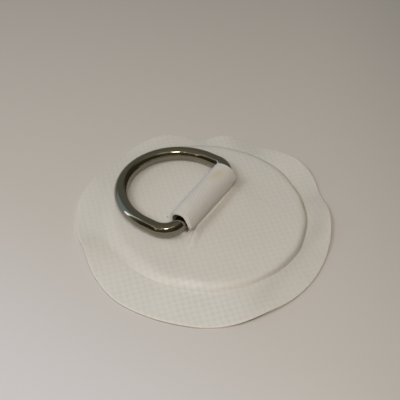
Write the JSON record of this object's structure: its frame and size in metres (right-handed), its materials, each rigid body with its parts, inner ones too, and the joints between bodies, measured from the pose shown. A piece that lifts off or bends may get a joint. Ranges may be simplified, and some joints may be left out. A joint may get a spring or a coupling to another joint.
{
  "type": "d-ring patch",
  "caption": "Soft pad eye: a steel D-ring that swings in a folded strap on a round glue-on patch of coated fabric.",
  "frame": {"origin": "centre of the glue face, under the middle of the raised part", "axes": "+Z out of the hull, +Y along the ring's straight bar, and at rest the ring lies towards -X"},
  "size_m": [0.1114, 0.1172, 0.0142],
  "materials": {
    "polished_steel": "polished stainless steel wire, lightly scratched",
    "coated_fabric": "off-white coated fabric with a fine plain weave under a satin coat"
  },
  "bodies": {
    "patch": {"cover_disc": "coated_fabric", "reinforcing_disc": "coated_fabric", "backing_disc": "coated_fabric", "ring_strap": "coated_fabric"},
    "ring": {"d_ring": "polished_steel"}
  },
  "joints": [
    {"name": "ring_swing", "type": "hinge", "parent": "patch", "child": "ring", "pos_m": [-0.0012, -0.0007, 0.0082], "axis": [0, 1, 0], "range_deg": [0, 183.5]}
  ]
}
